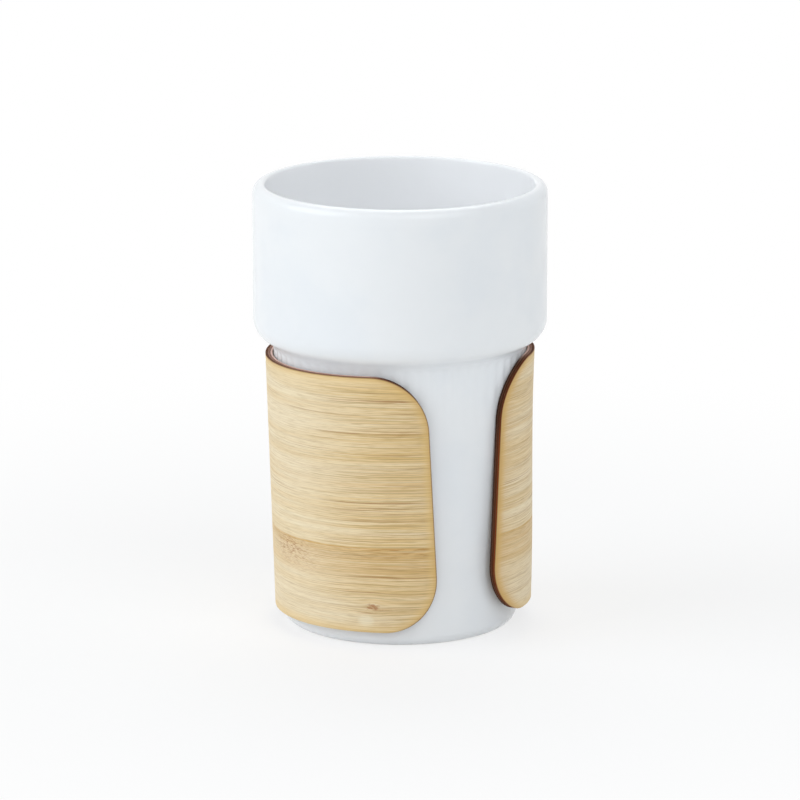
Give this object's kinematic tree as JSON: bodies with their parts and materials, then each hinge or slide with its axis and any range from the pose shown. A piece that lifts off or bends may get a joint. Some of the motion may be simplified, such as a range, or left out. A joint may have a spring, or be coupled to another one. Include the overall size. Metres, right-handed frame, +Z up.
{
  "type": "porcelain tumbler with bamboo sleeve",
  "caption": "Handleless porcelain cup with a wide straight collar, a fluted neck and a tapered body, held through a bent bamboo sleeve that is open at the front and slides off.",
  "frame": {"origin": "middle of the foot ring, on the surface that the cup stands on", "axes": "+Z up along the cup's axis, -Y towards the open front of the sleeve, +X to the right as seen from that front"},
  "size_m": [0.082, 0.082, 0.1247],
  "materials": {
    "glazed_porcelain": "smooth cool white glaze, unglazed foot ring",
    "bamboo_face": "fine bamboo grain running round the cup, sanded satin, edges browned by the cutting laser",
    "bamboo_core": "cross-laid bamboo, seen only at its browned cut edges",
    "bamboo_back": "bamboo, browned along its cut edges"
  },
  "bodies": {
    "sleeve": {"sleeve_face_veneer": "bamboo_face", "sleeve_core_ply": "bamboo_core", "sleeve_back_veneer": "bamboo_back"},
    "cup": {"porcelain_cup": "glazed_porcelain"}
  },
  "joints": [
    {"name": "cup_lift", "type": "slide", "parent": "sleeve", "child": "cup", "axis": [0, 0, 1], "range_m": [0, 0.085]}
  ]
}
